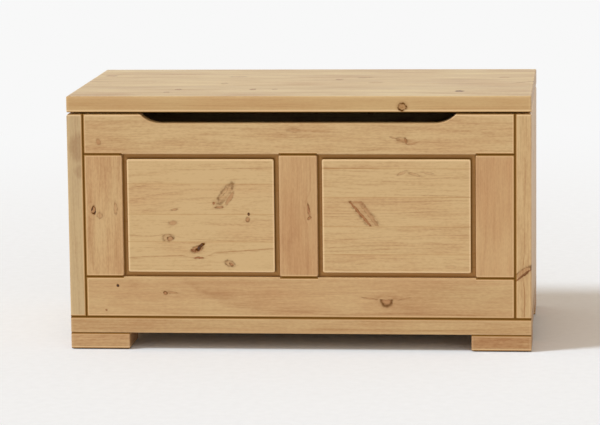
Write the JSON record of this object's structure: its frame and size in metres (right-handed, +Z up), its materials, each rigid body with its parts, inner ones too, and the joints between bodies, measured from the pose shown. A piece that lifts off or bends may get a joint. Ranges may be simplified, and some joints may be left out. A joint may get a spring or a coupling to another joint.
{
  "type": "blanket chest",
  "caption": "Pine blanket chest with a frame-and-panel front, a hand cut-out under the lid, block feet and a hinged lid held by slotted stays.",
  "frame": {"origin": "on the floor, at the middle of the width and of the depth over the hinge knuckles", "axes": "+X to the right of a person facing the front, +Y to the back, +Z up"},
  "size_m": [0.8, 0.4568, 0.443],
  "materials": {
    "pine_lid": "oiled pine board, satin",
    "pine_board": "oiled pine board, satin",
    "pine_rail": "oiled pine, satin",
    "pine_stile": "oiled pine, redder heartwood, satin",
    "pine_panel": "oiled pine, satin",
    "pine_foot": "oiled pine, redder heartwood, satin",
    "pine_back": "planed pine, thinly oiled",
    "beech_dowel": "plain beech",
    "zinc_screw": "zinc plated",
    "hinge_steel": "yellow zinc plated",
    "stay_steel": "zinc plated, satin",
    "felt": "pressed felt"
  },
  "bodies": {
    "carcass": {"base_board": "pine_board", "side_panel_left": "pine_board", "side_panel_right": "pine_board", "front_top_rail": "pine_rail", "front_bottom_rail": "pine_rail", "front_stile_left": "pine_stile", "front_stile_right": "pine_stile", "front_muntin": "pine_stile", "front_panel_left": "pine_panel", "front_panel_right": "pine_panel", "back_top_rail": "pine_back", "back_bottom_rail": "pine_back", "back_board_1": "pine_back", "back_board_2": "pine_back", "back_board_3": "pine_back", "back_board_4": "pine_back", "back_board_5": "pine_back", "back_board_6": "pine_back", "back_board_7": "pine_back", "back_board_8": "pine_back", "foot_front_left": "pine_foot", "foot_front_right": "pine_foot", "foot_rear_left": "pine_foot", "foot_rear_right": "pine_foot", "felt_glides": "felt", "lid_bumpers": "felt", "front_rail_dowels": "beech_dowel", "back_rail_dowels": "beech_dowel", "base_dowels": "beech_dowel", "foot_screws": "zinc_screw", "hinge_leaf_back_left": "hinge_steel", "hinge_leaf_back_right": "hinge_steel", "hinge_pin_left": "hinge_steel", "hinge_pin_right": "hinge_steel", "hinge_screws_back": "hinge_steel", "stay_plate_left": "stay_steel", "stay_plate_right": "stay_steel", "brake_pin_left": "stay_steel", "brake_pin_right": "stay_steel", "stay_plate_screws": "zinc_screw"},
    "lid": {"lid_panel": "pine_lid", "lid_batten_left": "pine_back", "lid_batten_right": "pine_back", "batten_screws": "zinc_screw", "hinge_leaf_lid_left": "hinge_steel", "hinge_leaf_lid_right": "hinge_steel", "hinge_screws_lid": "hinge_steel", "stay_bracket_left": "stay_steel", "stay_bracket_right": "stay_steel", "stay_rivet_left": "stay_steel", "stay_rivet_right": "stay_steel", "stay_bracket_screws": "zinc_screw"},
    "stay_arm_left": {"stay_bar_left": "stay_steel"},
    "stay_arm_right": {"stay_bar_right": "stay_steel"}
  },
  "joints": [
    {"name": "lid_hinge", "type": "hinge", "parent": "carcass", "child": "lid", "pos_m": [0, 0.2252, 0.41375], "axis": [-1, 0, 0], "range_deg": [0, 95]},
    {"name": "stay_pivot_left", "type": "hinge", "parent": "lid", "child": "stay_arm_left", "pos_m": [-0.3687, 0.1058, 0.40175], "axis": [1, 0, 0], "range_deg": [0, 47.5]},
    {"name": "stay_pivot_right", "type": "hinge", "parent": "lid", "child": "stay_arm_right", "pos_m": [0.3687, 0.1058, 0.40175], "axis": [1, 0, 0], "range_deg": [0, 47.5]}
  ],
  "couplings": [
    {"joint": "stay_pivot_left", "follows": "lid_hinge", "ratio": 0.5},
    {"joint": "stay_pivot_right", "follows": "lid_hinge", "ratio": 0.5}
  ]
}
